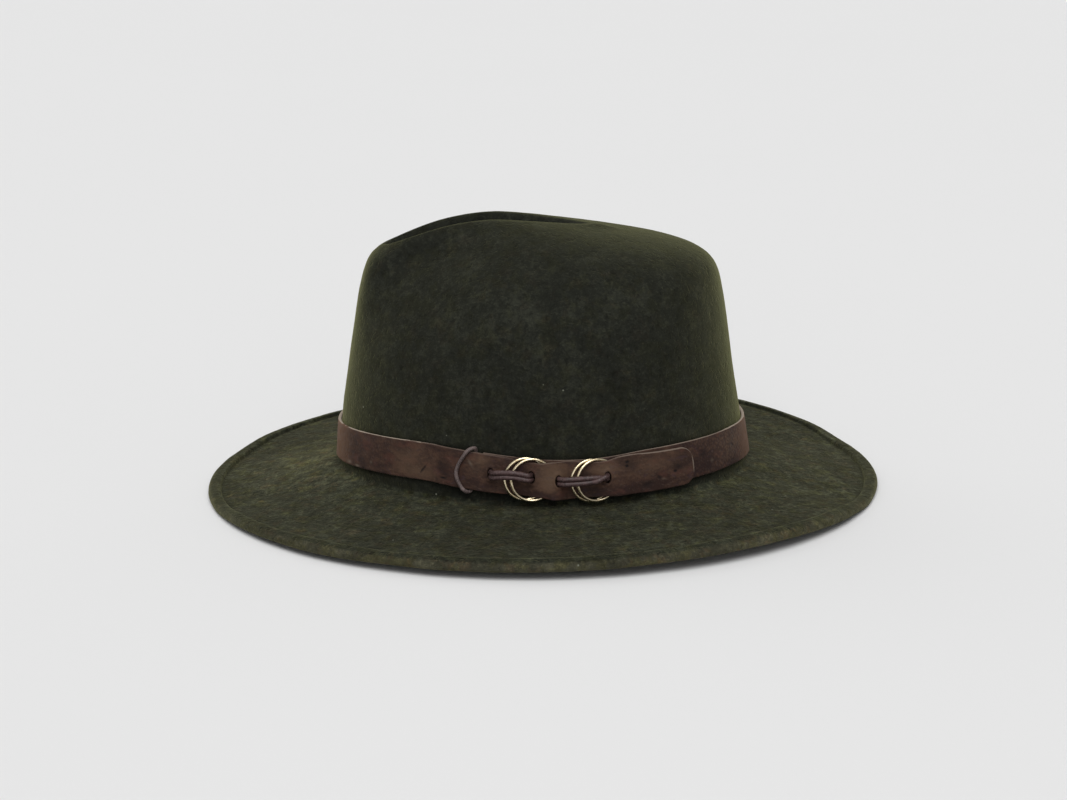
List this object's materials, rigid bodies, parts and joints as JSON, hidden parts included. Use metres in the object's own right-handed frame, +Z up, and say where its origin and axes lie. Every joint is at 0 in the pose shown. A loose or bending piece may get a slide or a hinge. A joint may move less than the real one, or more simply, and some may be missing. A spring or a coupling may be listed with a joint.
{
  "type": "loden hat",
  "caption": "Wool felt hat with a creased, pinched crown, a flat brim with a welted edge, and a leather strap laced over pairs of rings.",
  "frame": {"origin": "on the surface that the brim rests on, under the middle of the hat", "axes": "+Z up through the crown; -X is the wearer's front; -Y is the wearer's left side, where the rings are"},
  "size_m": [0.338, 0.313, 0.1372],
  "materials": {
    "felt": "dark green wool felt, matt, with fine fibres",
    "strap_leather": "worn brown split leather, nearly matt",
    "lace_leather": "dark brown leather lace, slight sheen",
    "ring_brass": "aged brass wire, dull with bright edges"
  },
  "bodies": {
    "root": {"felt_body": "felt", "hat_strap": "strap_leather", "keeper_loop": "lace_leather", "lace_1": "lace_leather", "lace_2": "lace_leather", "ring_1a": "ring_brass", "ring_1b": "ring_brass", "ring_2a": "ring_brass", "ring_2b": "ring_brass"}
  },
  "joints": []
}
